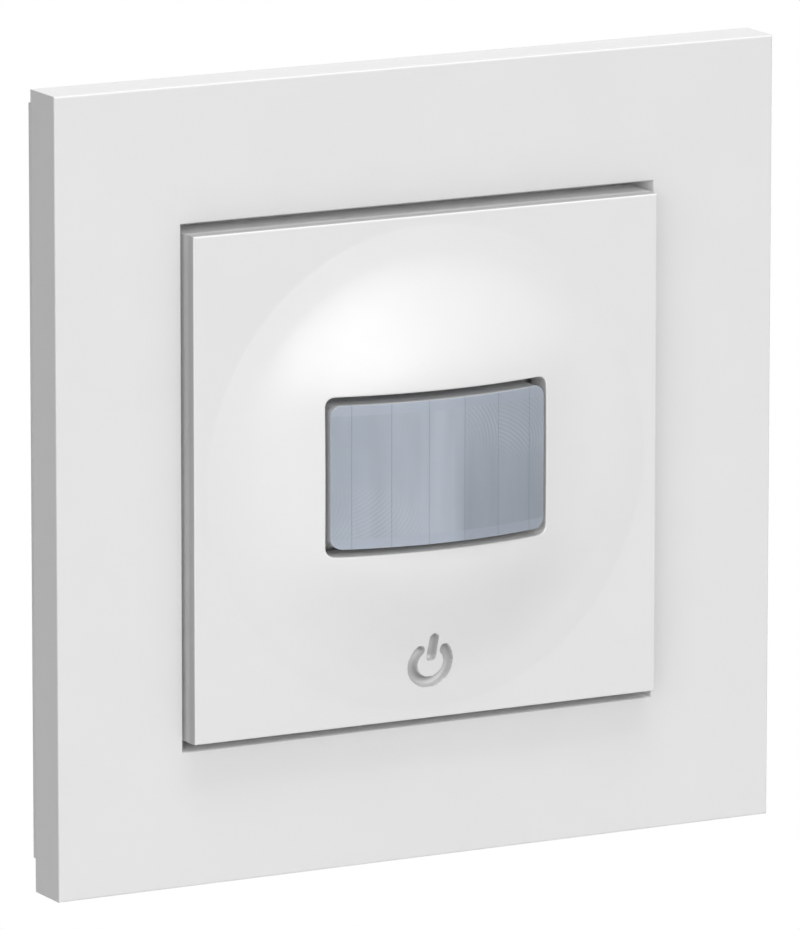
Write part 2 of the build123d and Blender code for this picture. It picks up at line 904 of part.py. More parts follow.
def switch_plunger():
    """The push switch's plunger, with a rounded top edge."""
    low = board_high + switch_height - plunger_engaged
    plunger = slab(disc(0, -switch_down, plunger_radius), low, plunger_top)
    top = plunger.edges().filter_by(GeomType.CIRCLE).sort_by(Axis.Y)[0]
    return chamfer(top, part_lift)


def trimmer_bodies():
    """The cases of the two setting potentiometers."""
    bodies = []
    for side in (-1, 1):
        place = Pos(side * trimmer_out, -trimmer_down)
        high = board_high + trimmer_height
        body = slab(place * Rectangle(trimmer_side, trimmer_side), board_high, high)
        bore = slab(place * Circle(dial_shaft_radius + running_fit), board_high + part_lift, high)
        bodies.append(body - bore)
    return Compound(bodies)


def setting_dial(side):
    """A dial with a screwdriver slot and a shaft."""
    place = Pos(side * trimmer_out, -trimmer_down)
    low = board_high + trimmer_height + slip_gap
    dial = slab(place * Circle(dial_radius), low, low + dial_thickness)
    top = dial.edges().filter_by(GeomType.CIRCLE).sort_by(Axis.Y)[0]
    dial = chamfer(top, part_lift)
    dial += slab(place * Circle(dial_shaft_radius), low - slip_gap - dial_shaft_engaged, low)
    slot = place * Rectangle(dial_slot_width, 2 * dial_radius - 2 * part_lift)
    return dial - slab(slot, low + dial_thickness - dial_slot_depth, low + dial_thickness)


def control_chip():
    """The controller on the sensor board."""
    return slab(Pos(0, chip_up) * Rectangle(chip_side, chip_side), board_high, board_high + chip_height)


def board_capacitors():
    """The two small capacitors beside the controller."""
    cans = []
    for side in (-1, 1):
        can = slab(disc(side * board_can_out, chip_up, board_can_radius), board_high,
                   board_high + board_can_height)
        top = can.edges().filter_by(GeomType.CIRCLE).sort_by(Axis.Y)[0]
        cans.append(chamfer(top, part_lift))
    return Compound(cans)


def plug_header():
    """The plastic bar that carries the plug's pins behind the board."""
    bar = slab(Pos(0, -plug_down) * Rectangle(plug_width, plug_tall), plug_stand, board_low)
    side = plug_pin_side + 2 * plug_pin_fit
    for x in pin_places():
        bar -= slab(Pos(x, -plug_down) * Rectangle(side, side), plug_stand, board_low)
    return bar


def plug_pins():
    """The plug's pins, from the sensor board into the insert's socket."""
    pins = []
    for x in pin_places():
        pin = Pos(x, -plug_down) * Rectangle(plug_pin_side, plug_pin_side)
        pins.append(slab(pin, -plug_pin_depth, board_high + plug_pin_end))
    return Compound(pins)


def ring_screw_places():
    """Where the two screws through the support ring stand, half a turn apart."""
    return [(side * ring_screw_out, side * ring_screw_up) for side in (-1, 1)]


def support_ring():
    """The steel ring with slots for the wall box's screws."""
    plate = Rectangle(ring_side, ring_side)
    plate = chamfer(plate.vertices(), ring_corner_cut)
    plate -= RectangleRounded(ring_opening, ring_opening, ring_opening_radius)
    half_pitch = box_hole_spacing / 2
    slot = SlotOverall(box_slot_length, box_slot_width)
    for turn in range(4):
        plate -= Rot(0, 0, 90 * turn) * Pos(half_pitch, 0) * slot
    for side in (-1, 1):
        plate -= disc(side * claw_screw_out, side * claw_up, claw_screw_radius + running_fit)
    ring = slab(plate, 0, ring_thickness)
    for x, z in ring_screw_places():
        ring -= ring_screw(x, z, hole_clearance)
    return ring


def ring_screw(x, z, grow):
    """A countersunk screw, grown all round when it cuts its own hole."""
    neck = ring_screw_radius + grow
    cone_height = ring_screw_head_radius - ring_screw_radius
    shank = slab(disc(x, z, neck), ring_thickness - ring_screw_length, ring_thickness)
    profile = [
        (0, ring_thickness),
        (neck + cone_height, ring_thickness),
        (neck, ring_thickness - cone_height),
        (0, ring_thickness - cone_height),
    ]
    face = Plane(origin=(0, 0, 0), x_dir=(1, 0, 0), z_dir=(0, 0, 1)) * make_face(
        Polyline(*[(across, -height) for across, height in profile], close=True)
    )
    cone = Pos(x, 0, z) * revolve(face, Axis.Y)
    return shank + cone


def ring_screws():
    """The two screws that hold ring, lid and housing together, each with a cross slot."""
    screws = []
    for x, z in ring_screw_places():
        across = Pos(x, z) * Rectangle(2 * ring_screw_radius, claw_screw_slot)
        along = Pos(x, z) * Rectangle(claw_screw_slot, 2 * ring_screw_radius)
        cross = slab(across + along, ring_thickness - claw_screw_slot_depth, ring_thickness)
        screws.append(ring_screw(x, z, 0) - cross)
    return Compound(screws)


def pocket_area(grow):
    """The outline of the housing's right claw pocket, grown by its wall or a gap."""
    half = claw_width / 2 + pocket_gap + grow
    return area(pocket_floor_out - grow, insert_across / 2, claw_up - half, claw_up + half)


def insert_housing():
    """The case in the wall box: an eight-sided cup with claw pockets and terminal openings."""
    body = slab(octagon(insert_across), insert_low, 0)
    body -= slab(octagon(insert_across - 2 * insert_wall), insert_floor_high, 0)
    body -= slab(octagon(insert_across - 2 * insert_mouth_wall), lid_low, 0)
    screw_end = ring_thickness - ring_screw_length
    for x, z in ring_screw_places():
        radius = ring_screw_radius + lid_pillar_wall
        body += slab(disc(x, z, radius), screw_end - insert_wall, lid_low)
        body -= slab(disc(x, z, ring_screw_radius + screw_fit), screw_end, lid_low)
    for side in (-1, 1):
        post = Pos(side * post_out, post_up) * Rectangle(post_thickness, post_width)
        body += slab(post, insert_floor_high, power_low)
    pocket = slab(pocket_area(pocket_wall), -pocket_depth - pocket_wall, 0)
    pocket = pocket & slab(octagon(insert_across), insert_low, 0)
    room = slab(pocket_area(0), -pocket_depth, overrun)
    pins = claw_pins()
    for turn in (0, 180):
        body += pocket.rotate(Axis.Y, turn)
        body -= room.rotate(Axis.Y, turn)
        body += pins.rotate(Axis.Y, turn)
    half = terminal_width / 2 + terminal_gap
    opening = area(-half, half, -terminal_bottom - terminal_gap, -terminal_top + terminal_gap)
    return body - slab(opening, insert_low, insert_floor_high)


def claw_pins():
    """Two short trunnions inside a claw pocket."""
    half = claw_width / 2 + pocket_gap
    reach = pocket_gap + claw_sheet + hole_clearance
    low = upright_disc(claw_pivot_out, -claw_pivot_depth, claw_pin_radius,
                       claw_up - half - pocket_wall / 2, claw_up - half + reach)
    high = upright_disc(claw_pivot_out, -claw_pivot_depth, claw_pin_radius,
                        claw_up + half - reach, claw_up + half + pocket_wall / 2)
    return low + high


def insert_lid():
    """The lid in the housing's mouth, with pillars up to the ring and a socket opening."""
    across = insert_across - 2 * insert_mouth_wall - 2 * lid_fit
    lid = slab(octagon(across), lid_low, lid_high)
    for x, z in ring_screw_places():
        radius = ring_screw_radius + lid_pillar_wall
        lid += slab(disc(x, z, radius), lid_high, 0)
        lid -= slab(disc(x, z, ring_screw_radius + hole_clearance), lid_low, 0)
    half_x = socket_width / 2 + socket_passage_gap
    half_z = socket_tall / 2 + socket_passage_gap
    opening = area(-half_x, half_x, -plug_down - half_z, -plug_down + half_z)
    lid -= slab(opening, lid_low, lid_high)
    notch = slab(pocket_area(pocket_wall + lid_fit), lid_low, lid_high)
    lid -= notch
    lid -= half_turn(notch)
    return lid


def power_board():
    """The board in the insert, resting on two posts."""
    outline = Rectangle(power_board_side, power_board_tall)
    outline = chamfer(outline.vertices(), power_board_corner_cut)
    return slab(outline, power_low, power_high)


def socket_strip():
    """The insert's socket for the plug."""
    body = slab(Pos(0, -plug_down) * Rectangle(socket_width, socket_tall), power_high, -socket_drop)
    for x in pin_places():
        hole = Pos(x, -plug_down) * Rectangle(socket_hole_side, socket_hole_side)
        body -= slab(hole, -socket_drop - socket_hole_depth, -socket_drop)
    return body


def relay():
    """The switching relay."""
    outline = area(-relay_left, -relay_left + relay_width, -relay_up - relay_tall / 2,
                   -relay_up + relay_tall / 2)
    body = slab(outline, power_low - relay_height, power_low)
    rim = [edge for edge in body.edges() if edge.bounding_box().min.Y > -(power_low - relay_height / 2)]
    return fillet(rim, part_lift)


def film_capacitor():
    """The box-shaped mains capacitor."""
    outline = Pos(film_out, -film_down) * Rectangle(film_width, film_tall)
    body = slab(outline, power_low - film_height, power_low)
    return fillet(body.edges().filter_by(Axis.Y), part_lift)


def storage_capacitor():
    """The round storage capacitor with a rolled edge."""
    body = slab(disc(-storage_out, storage_up, storage_radius), power_low - storage_height, power_low)
    rim = body.edges().filter_by(GeomType.CIRCLE).sort_by(Axis.Y)[-1]
    return chamfer(rim, part_lift)


def choke_core():
    """The drum core of the choke: two flanges on a round waist."""
    low = power_low - choke_height
    core = slab(disc(choke_out, choke_up, choke_core_radius), low, power_low)
    core += slab(disc(choke_out, choke_up, choke_radius), low, low + choke_flange)
    core += slab(disc(choke_out, choke_up, choke_radius), power_low - choke_flange, power_low)
    return core


def choke_winding():
    """The wire wound on the choke, as one sleeve."""
    low = power_low - choke_height + choke_flange
    sleeve = Circle(choke_core_radius + choke_winding_wall) - Circle(choke_core_radius)
    return slab(Pos(choke_out, choke_up) * sleeve, low, power_low - choke_flange)


def varistor():
    """The surge absorber, a disc on edge."""
    face = Plane(origin=(0, 0, varistor_up - varistor_thickness / 2), x_dir=(1, 0, 0), z_dir=(0, 0, 1))
    circle = face * disc(0, varistor_radius + part_lift - power_low, varistor_radius)
    return extrude(circle, amount=varistor_thickness)


def fuse():
    """The fuse, a small barrel lying on the board."""
    left = -fuse_out - fuse_length / 2
    return side_disc(fuse_up, power_low - part_lift - fuse_radius, fuse_radius, left, left + fuse_length)


def terminal_places():
    """The four terminals, side by side."""
    first = -terminal_pitch * (terminal_count - 1) / 2
    return [first + index * terminal_pitch for index in range(terminal_count)]


def terminal_block():
    """The lower half of the terminals: a cell for each wire, flush in the housing's floor."""
    cells = []
    half = (terminal_pitch - cell_gap) / 2
    for x in terminal_places():
        cell = slab(area(x - half, x + half, -terminal_bottom, -terminal_split), insert_low, terminal_high)
        cell -= slab(disc(x, -wire_down, wire_hole_radius), insert_low, insert_low + wire_hole_depth)
        cells.append(cell.solid())
    return Compound(cells)


def release_guide():
    """The upper half of the terminals, with a square shaft for each release button."""
    half = terminal_width / 2
    block = slab(area(-half, half, -terminal_split, -terminal_top), insert_low, terminal_high)
    side = release_side + 2 * release_gap
    for x in terminal_places():
        shaft = Pos(x, -release_down) * Rectangle(side, side)
        block -= slab(shaft, insert_low, insert_low + release_room)
    return block


def clamp_springs():
    """The clamping springs at the ends of the release shafts."""
    springs = []
    high = insert_low + release_room
    low = high - clamp_height
    half = clamp_span / 2
    for x in terminal_places():
        points = [
            (-release_down - half, high),
            (-release_down - half, low),
            (-release_down - half + clamp_thickness, low),
            (-release_down, high - 2 * clamp_thickness),
            (-release_down + half - clamp_thickness, low),
            (-release_down + half, low),
            (-release_down + half, high),
        ]
        springs.append(side_profile(points, x - clamp_width / 2, x + clamp_width / 2))
    return Compound(springs)


def release_button(index):
    """A push button that opens one terminal, proud of the housing's floor."""
    x = terminal_places()[index]
    low = insert_low - release_stand
    button = slab(Pos(x, -release_down) * Rectangle(release_side, release_side), low, low + release_length)
    rim = button.faces().sort_by(Axis.Y)[-1].edges()
    return chamfer(rim, part_lift)


def claw_right():
    """A U-shaped claw: two cheeks on the pocket's trunnions, a slotted foot and a toothed back."""
    depth = claw_pivot_depth
    tail = depth + claw_length
    pitch = claw_length / 2 / claw_tooth_count
    outline = [
        (claw_pivot_out - claw_ear_radius, -depth),
        (claw_pivot_out - claw_ear_radius, -depth - 2 * claw_ear_radius),
        (claw_out - claw_tooth - claw_tail_inset, -tail),
    ]
    for index in range(claw_tooth_count):
        low = -tail + index * pitch
        outline.append((claw_out, low))
        outline.append((claw_out - claw_tooth, low + pitch))
    outline += [
        (claw_out, -tail + claw_tooth_count * pitch),
        (claw_out, -depth - claw_shoulder_depth),
        (claw_out - claw_foot_inset, -depth - claw_foot_drop),
        (claw_pivot_out + claw_ear_radius, -depth),
    ]
    claw = Part()
    half = claw_width / 2
    for low in (claw_up - half, claw_up + half - claw_sheet):
        cheek = upright_profile(outline, low, low + claw_sheet)
        cheek += upright_disc(claw_pivot_out, -depth, claw_ear_radius, low, low + claw_sheet)
        cheek -= upright_disc(claw_pivot_out, -depth, claw_pin_radius + claw_pin_fit, low, low + claw_sheet)
        claw += cheek
    foot_high = -depth - claw_foot_drop
    foot = area(claw_pivot_out - claw_foot_inset, claw_out - claw_foot_inset, claw_up - half, claw_up + half)
    foot -= Pos(claw_screw_out - part_lift / 2, claw_up) * Rectangle(claw_slot_length, claw_slot_width)
    claw += slab(foot, foot_high - claw_sheet, foot_high)
    back = area(claw_out - claw_outer_sheet, claw_out, claw_up - half, claw_up + half)
    back_slab = slab(back, -tail, -depth - claw_shoulder_depth)
    claw += back_slab & upright_profile(outline, claw_up - half, claw_up + half)
    return claw


def claw_screw_right():
    """The screw that draws a claw's foot forward, with its head on the ring."""
    place = Pos(claw_screw_out, claw_up)
    screw = slab(place * Circle(claw_screw_head_radius), ring_thickness, head_room)
    screw += slab(place * Circle(claw_screw_radius), ring_thickness - claw_screw_length, ring_thickness)
    slot = place * Rectangle(2 * claw_screw_head_radius + overrun, claw_screw_slot)
    return screw - slab(slot, head_room - claw_screw_slot_depth, head_room)


def build_pieces():
    """Every piece of the switch, by name."""
    claw = claw_right()
    claw_screw = claw_screw_right()
    pieces = {
        "cover_frame": cover_frame(),
        "frame_carrier": frame_carrier(),
        "key_plate": key_plate(),
        "key_spring_left": key_spring(-leaf_out),
        "key_spring_right": key_spring(leaf_out),
        "fresnel_lens": fresnel_lens(),
        "module_front": module_front(),
        "module_back": module_back(),
        "module_screws": module_screws(),
        "sensor_board": sensor_board(),
        "pir_spacer": pir_spacer(),
        "pir_can": pir_can(),
        "pir_filter": pir_filter(),
        "pir_leads": pir_leads(),
        "light_sensor": light_part(-1),
        "status_led": light_part(1),
        "switch_body": switch_body(),
        "switch_plunger": switch_plunger(),
        "trimmer_bodies": trimmer_bodies(),
        "lux_dial": setting_dial(-1),
        "time_dial": setting_dial(1),
        "control_chip": control_chip(),
        "board_capacitors": board_capacitors(),
        "plug_header": plug_header(),
        "plug_pins": plug_pins(),
        "support_ring": support_ring(),
        "ring_screws": ring_screws(),
        "insert_housing": insert_housing(),
        "insert_lid": insert_lid(),
        "power_board": power_board(),
        "socket_strip": socket_strip(),
        "relay": relay(),
        "film_capacitor": film_capacitor(),
        "storage_capacitor": storage_capacitor(),
        "choke_core": choke_core(),
        "choke_winding": choke_winding(),
        "varistor": varistor(),
        "fuse": fuse(),
        "terminal_block": terminal_block(),
        "release_guide": release_guide(),
        "clamp_springs": clamp_springs(),
        "claw_right": claw,
        "claw_left": half_turn(claw),
        "claw_screw_right": claw_screw,
        "claw_screw_left": half_turn(claw_screw),
    }
    for index in range(terminal_count):
        pieces[f"release_button_{index + 1}"] = release_button(index)
    return pieces


os.makedirs("parts", exist_ok=True)
for name, piece in build_pieces().items():
    export_step(piece, f"parts/{name}.step")
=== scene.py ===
import math

import bmesh
import bpy
import numpy as np
from mathutils import Matrix, Vector


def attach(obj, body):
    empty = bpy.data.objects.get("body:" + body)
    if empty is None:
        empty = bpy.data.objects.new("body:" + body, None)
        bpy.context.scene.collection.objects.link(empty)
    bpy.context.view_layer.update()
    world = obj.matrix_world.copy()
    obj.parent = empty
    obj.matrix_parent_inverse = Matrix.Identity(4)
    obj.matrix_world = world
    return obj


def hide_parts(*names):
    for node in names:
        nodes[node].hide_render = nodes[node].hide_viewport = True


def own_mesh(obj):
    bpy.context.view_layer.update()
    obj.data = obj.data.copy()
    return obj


# The scene is in metres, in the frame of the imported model: +X right, -Y out of the wall, +Z up.
# Sizes and places of the key, the lens and the springs are in millimetres.
MM = 0.001

# Camera, found from the corners of the frame and the key in the photograph: its place, its axes
# and its lens
camera_place = Vector((-0.5022295, -0.9500381, 0.2185421))
camera_right = Vector((0.882811632, -0.469727022, 0.000382))
camera_down = Vector((-0.094094914, -0.177640042, -0.979586731))
camera_forward = Vector((0.460206224, 0.864754613, -0.201021619))
camera_lens = 400.35
sensor_size = 36.0
camera_near = 0.01

# Key plate: the dome's formula, as in the solid
key_front = 12.55
dome_radius = 26.0
dome_rise = 3.9
dome_side_radius = 45.0
dome_upright_radius = 400.0
dome_rim_width = 2.8
dome_rim_slope = 0.08
crown_power = 4
crown_half_x = 13.4
crown_half_z = 9.27
window_half_x = 13.1
window_half_z = 8.5
window_up = 0.47
window_corner = 1.0
window_lip = 0.18
window_wall_end = 11.15
symbol_down = 20.9
symbol_radius = 2.1
symbol_half_stroke = 0.54
symbol_depth = 1.0
symbol_wall_power = 0.25
symbol_bar = (0.85, 2.8)
symbol_gap_angle = 44.0

# Dense mesh of the dome: angles in degrees, steps in millimetres
fine_sector = 9.5
fine_step = 0.19
coarse_step = 1.25
ring_step = 0.11
rim_apron = 0.5
apron_lift = 0.003
lip_shares = (0.0, 0.06, 0.2, 0.4, 0.65, 1.0)
outline_halvings = 40

# Faces of the key's own mesh that the dense one takes over
dome_skin = 0.75
front_skin = 0.6
window_wall_reach = 0.1
window_wall_spare = 0.05
upright_limit = 0.5

# Lens: strips on its inner side, seen through it
strip_width = 4.22
strip_line = 0.1
lens_half_z = 7.65
lens_border = 1.15
border_blend = 0.12
groove_pitch = 0.42
ring_swing = 3.4
ring_aside = 4.6
ring_turn = 2.3
# Where the painted highlight on the ring ridges shows, and on which part of each groove
ring_zone = (4.0, 22.0)
ring_ridge = (0.5, 0.85)
ring_least_share = 0.35
# Painted light on the middle strips and painted shade on the strips at one side: zones and shares
painted_light_zone = (-8.5, -1.5)
painted_light_least_share = 0.5
painted_light_streaks = (0.3, 0.6)
painted_shade_before, painted_shade_after = 1.4, 0.4
painted_shade_zone = (-4.0, 7.0)
painted_shade_top_share = 0.55
patch_least_share = 0.3
streak_stretch = (1.0, 1.0, 0.12)
cut_facing = (0.25, 0.6)
ring_relief_share = 0.35
scatter_share = 0.25
scatter_reach = (0.0008, 0.0009, 0.001)

# Lens colours
lens_base = (0.37, 0.41, 0.48)
# Streaks of painted light, painted light on the middle strips, painted shade on the strips at one side, and
# the clear border plain and in painted shade
lens_tones = ((0.335, 0.375, 0.435), (0.385, 0.43, 0.495))
lens_painted_light = (0.435, 0.47, 0.535)
lens_painted_shade_tones = ((0.285, 0.318, 0.365), (0.315, 0.35, 0.402))
border_tones = ((0.40, 0.445, 0.52), (0.335, 0.375, 0.44))
border_share = 0.8
# Painted highlight on the ridges of the ring grooves
ring_crest_painted_highlight = (0.46, 0.5, 0.56)
ring_crest_highlight_share = 0.5
line_color = (0.17, 0.19, 0.23)
line_share = 0.4
cut_color = (0.6, 0.61, 0.62)

# Painted shade in the symbol's groove and on the frame beside the key: reach in metres, share of tone taken
cavity_reach = 0.0012
cavity_open = (0.5, 0.97)
cavity_shade = 0.26
frame_reach = 0.006
frame_shade = 0.42
shade_samples = 12

# The symbol's zone, and the painted light on its walls that face the light and the painted shade on those
# that face away
symbol_top = -16.0
symbol_zone_blend = 0.5
slant_aside = 0.6
slant_limit = 0.8
lit_wall_tone = 0.2
dim_wall_tone = -0.5

# Sides of key and frame: where they start, how much they face forward, and the painted light and shade of the
# sides from the frame's front to the key's front, the painted highlight of the rounded edges and the painted
# light of the dome
key_side_start = 26.5
frame_side_start = 42.0
side_blend = 0.1
side_facing = (0.3, 0.6)
crest_rise = (0.55, 0.7)
crest_fall = (0.9, 0.99)
side_deep = 10.4
side_proud = 11.6
side_deep_painted_light = 1.12
side_proud_painted_shade = 0.58
inner_side_painted_light = 1.18
crest_painted_highlight = 0.07
frame_crest_painted_highlight = 0.04
dome_painted_light = 0.03
dome_painted_light_zone = (20.0, 25.0)

# Stage: the floor, the room's light, and each soft box's place, size, height and power
floor_down = 0.3
floor_half = 0.5
floor_color = (0.8, 0.8, 0.8)
floor_tones = ((0.78, 0.78, 0.78), (0.82, 0.82, 0.82))
floor_scale = 30.0
room_light = 0.1
soft_boxes = {
    "front_box": ((0.0, -1.449, 0.388), 1.05, 1.05, 14.2),
    "left_box": ((-1.171, -0.676, 0.362), 0.9, 0.9, 3.5),
    "top_box": ((0.0, -0.113, 1.295), 0.9, 0.9, 13.1),
    "back_box": ((0.6, 1.25, -0.12), 0.9, 0.3, 7.0),
}

# Noise and patterns: the ranges that ramps take from noise, and the scales per metre
mid_noise = (0.35, 0.65)
wide_noise = (0.3, 0.7)
stain_noise = (0.35, 0.7)
patch_noise = (0.4, 0.6)
pore_noise = (0.45, 0.6)
cloud_scale = 130.0
patch_scale = 160.0
stain_scale = 220.0
board_cell_scale = 330.0
streak_scale = 420.0
flow_scale = 700.0
turn_scale = 700.0
swirl_scale = 900.0
weave_scale = 2600.0
pore_scale = 4200.0
grain_scale = 9000.0

# Relief of the surfaces, in metres, the share of it that shows, and the samples of a rounded edge
grain_relief = 0.00001
line_relief = 0.00002
track_relief = 0.00003
pore_relief = 0.00004
groove_relief = 0.00004
turn_relief = 0.0001
swirl_strength = 0.15
line_strength = 0.25
lens_strength = 0.35
track_strength = 0.4
pore_strength = 0.6
turn_strength = 0.8
edge_samples = 4

# Colours and patterns of the materials, their roughness, and the shares by which gloss varies
white = (0.80, 0.80, 0.80)
full_white = (1.0, 1.0, 1.0, 1.0)
board_green = (0.01, 0.12, 0.05)
board_tones = ((0.012, 0.13, 0.055), (0.03, 0.22, 0.09))
weave_tone = (0.01, 0.08, 0.04)
weave_share = 0.25
track_edge = (0.36, 0.4)
wire_copper = (0.5, 0.19, 0.07)
wire_tones = ((0.3, 0.1, 0.035), (0.62, 0.26, 0.1))
turn_distortion = 0.6
core_grey = (0.035, 0.035, 0.038)
core_tones = ((0.02, 0.02, 0.022), (0.06, 0.06, 0.065))
glass_roughness = 0.08
wire_roughness = 0.28
wire_metallic = 0.9
lens_roughness = 0.3
board_roughness = 0.32
core_roughness = 0.6
floor_roughness = 0.7
plastic_gloss_shares = (0.9, 1.1)
metal_gloss_shares = (0.75, 1.3)
plastic_index = 1.5

# Angles in degrees above which an edge stays sharp
key_smooth = 24
piece_smooth = 30

# What keeps a length from being zero
tiny = 1e-9


def new_material(name, color, roughness, metallic=0.0):
    """A material with its shader's plain values set on their own sockets."""
    mat = bpy.data.materials.new(name)
    mat.use_nodes = True
    shader = mat.node_tree.nodes["Principled BSDF"]
    shader.inputs["Base Color"].default_value = (*color, 1.0)
    shader.inputs["Roughness"].default_value = roughness
    shader.inputs["Metallic"].default_value = metallic
    return mat, mat.node_tree, shader


def node(tree, kind, **values):
    """A shader node with values for its sockets, by name."""
    made = tree.nodes.new(kind)
    for key, value in values.items():
        made.inputs[key.replace("_", " ")].default_value = value
    return made


def maths(tree, operation, first, second=None, third=None):
    """A math node fed by sockets or numbers; returns its output."""
    made = tree.nodes.new("ShaderNodeMath")
    made.operation = operation
    for index, value in enumerate((first, second, third)):
        if value is None:
            continue
        if isinstance(value, (int, float)):
            made.inputs[index].default_value = value
        else:
            tree.links.new(value, made.inputs[index])
    return made.outputs[0]


def times(tree, first, second):
    """A product of sockets or numbers."""
    return maths(tree, "MULTIPLY", first, second)


def minus(tree, first, second):
    """A difference of sockets or numbers."""
    return maths(tree, "SUBTRACT", first, second)


def size_of(tree, value):
    """A value without its sign."""
    return maths(tree, "ABSOLUTE", value)


def object_space(tree):
    """The surface point's place in its object's own space, which at rest is the frame of the model."""
    return tree.nodes.new("ShaderNodeTexCoord").outputs["Object"]


def split(tree, vector):
    """The three parts of a vector."""
    made = tree.nodes.new("ShaderNodeSeparateXYZ")
    tree.links.new(vector, made.inputs[0])
    return made.outputs


def facing(tree):
    """The parts of the surface's direction, in the same space as its place."""
    return split(tree, tree.nodes.new("ShaderNodeTexCoord").outputs["Normal"])


def noise(tree, scale, detail=3.0, roughness=0.5, stretch=None):
    """Noise over the object's own space, stretched along an axis if asked."""
    place = object_space(tree)
    if stretch:
        mapping = tree.nodes.new("ShaderNodeMapping")
        mapping.inputs["Scale"].default_value = stretch
        tree.links.new(place, mapping.inputs["Vector"])
        place = mapping.outputs[0]
    made = node(tree, "ShaderNodeTexNoise", Scale=scale, Detail=detail, Roughness=roughness)
    tree.links.new(place, made.inputs["Vector"])
    return made.outputs[0]


def ramp(tree, source, low, high, first, second):
    """Maps a value from one range to another."""
    made = tree.nodes.new("ShaderNodeMapRange")
    for key, value in (("From Min", low), ("From Max", high), ("To Min", first), ("To Max", second)):
        made.inputs[key].default_value = value
    tree.links.new(source, made.inputs["Value"])
    return made.outputs[0]


def mix_colors(tree, amount, first, second):
    """A mix of two colours, each a tuple or a socket."""
    made = tree.nodes.new("ShaderNodeMix")
    made.data_type = "RGBA"
    tree.links.new(amount, made.inputs[0])
    for index, value in ((6, first), (7, second)):
        if isinstance(value, tuple):
            made.inputs[index].default_value = (*value, 1.0)
        else:
            tree.links.new(value, made.inputs[index])
    return made.outputs[2]


def bump(tree, shader, height, strength, distance, edge=0.0):
    """Bump from a height, over rounded edges where an edge radius is given."""
    made = node(tree, "ShaderNodeBump", Strength=strength, Distance=distance)
    tree.links.new(height, made.inputs["Height"])
    if edge:
        rounded = tree.nodes.new("ShaderNodeBevel")
        rounded.samples = edge_samples
        rounded.inputs["Radius"].default_value = edge
        tree.links.new(rounded.outputs[0], made.inputs["Normal"])
    tree.links.new(made.outputs[0], shader.inputs["Normal"])


def vary_gloss(tree, shader, source, roughness, shares):
    """Roughness that follows a noise, between two shares of its value."""
    low, high = (roughness * share for share in shares)
    tree.links.new(ramp(tree, source, *wide_noise, low, high), shader.inputs["Roughness"])


def scaled(tree, tint, factor):
    """A colour made darker or paler by a factor."""
    made = tree.nodes.new("ShaderNodeVectorMath")
    made.operation = "SCALE"
    tree.links.new(tint, made.inputs[0])
    tree.links.new(factor, made.inputs["Scale"])
    return made.outputs[0]


def openness(tree, reach, own_only):
    """How open a point lies within a reach, seen from its own piece or from all of them."""
    made = tree.nodes.new("ShaderNodeAmbientOcclusion")
    made.samples = shade_samples
    made.only_local = own_only
    made.inputs["Distance"].default_value = reach
    return made.outputs["AO"]


def side_shares(tree, start):
    """On a square piece: how far a point is on a side, near the outline, and on a rounded front edge."""
    x, y, z = split(tree, object_space(tree))
    front = size_of(tree, facing(tree)[1])
    beyond = maths(tree, "MAXIMUM", size_of(tree, x), size_of(tree, z))
    outer = ramp(tree, beyond, start * MM, (start + side_blend) * MM, 0.0, 1.0)
    side = ramp(tree, front, *side_facing, 1.0, 0.0)
    crest = times(tree, ramp(tree, front, *crest_rise, 0.0, 1.0), ramp(tree, front, *crest_fall, 1.0, 0.0))
    return side, outer, times(tree, outer, crest)


def symbol_share(tree, z, reach):
    """How far a point is in the symbol's groove."""
    groove = ramp(tree, openness(tree, cavity_reach, True), *cavity_open, 1.0, 0.0)
    low = ramp(tree, z, (symbol_top - symbol_zone_blend) * MM, symbol_top * MM, 1.0, 0.0)
    within = ramp(tree, reach, (dome_radius - symbol_zone_blend) * MM, dome_radius * MM, 1.0, 0.0)
    return times(tree, groove, times(tree, low, within))


def key_painted_shading(tree, tint):
    """Painted shade in the key's symbol and on its proud sides, painted light on its sides near the frame
    and over the dome, and a painted highlight along its front edges.
    """
    x, y, z = split(tree, object_space(tree))
    side, outer, crest = side_shares(tree, key_side_start)
    # painted shade on the sides towards the key's front, painted light near the frame
    painted_shading = ramp(tree, y, -side_deep * MM, -side_proud * MM, side_deep_painted_light - 1, side_proud_painted_shade - 1)
    factor = maths(tree, "MULTIPLY_ADD", times(tree, side, outer), painted_shading, 1.0)
    # painted highlight along the rounded front edges
    factor = maths(tree, "MULTIPLY_ADD", crest, crest_painted_highlight, factor)
    reach = maths(tree, "SQRT", maths(tree, "ADD", times(tree, x, x), times(tree, z, z)))
    # painted light over the dome, fading out towards its rim
    dome = ramp(tree, reach, *(limit * MM for limit in dome_painted_light_zone), dome_painted_light, 0.0)
    factor = maths(tree, "ADD", factor, dome)
    # painted shade fills the groove, darkest on its walls that face down or right, least on those that face
    # up or left
    direction = facing(tree)
    slant = minus(tree, times(tree, direction[0], slant_aside), direction[2])
    lean = ramp(tree, slant, -slant_limit, slant_limit, lit_wall_tone, dim_wall_tone)
    shade = minus(tree, lean, cavity_shade)
    return scaled(tree, tint, maths(tree, "MULTIPLY_ADD", shade, symbol_share(tree, z, reach), factor))


def frame_painted_shading(tree, tint):
    """Painted shade on the frame beside the proud key, painted light on the aperture's inner sides,
    and a painted highlight along its front edges.
    """
    side, outer, crest = side_shares(tree, frame_side_start)
    # painted shade on the frame's front beside the proud key
    beside = ramp(tree, openness(tree, frame_reach, False), 0.0, 1.0, -frame_shade, 0.0)
    factor = maths(tree, "MULTIPLY_ADD", beside, minus(tree, 1.0, side), 1.0)
    # painted light on the aperture's inner sides
    inner = times(tree, side, minus(tree, 1.0, outer))
    factor = maths(tree, "MULTIPLY_ADD", inner, inner_side_painted_light - 1, factor)
    # painted highlight along the front edges
    return scaled(tree, tint, maths(tree, "MULTIPLY_ADD", crest, frame_crest_painted_highlight, factor))


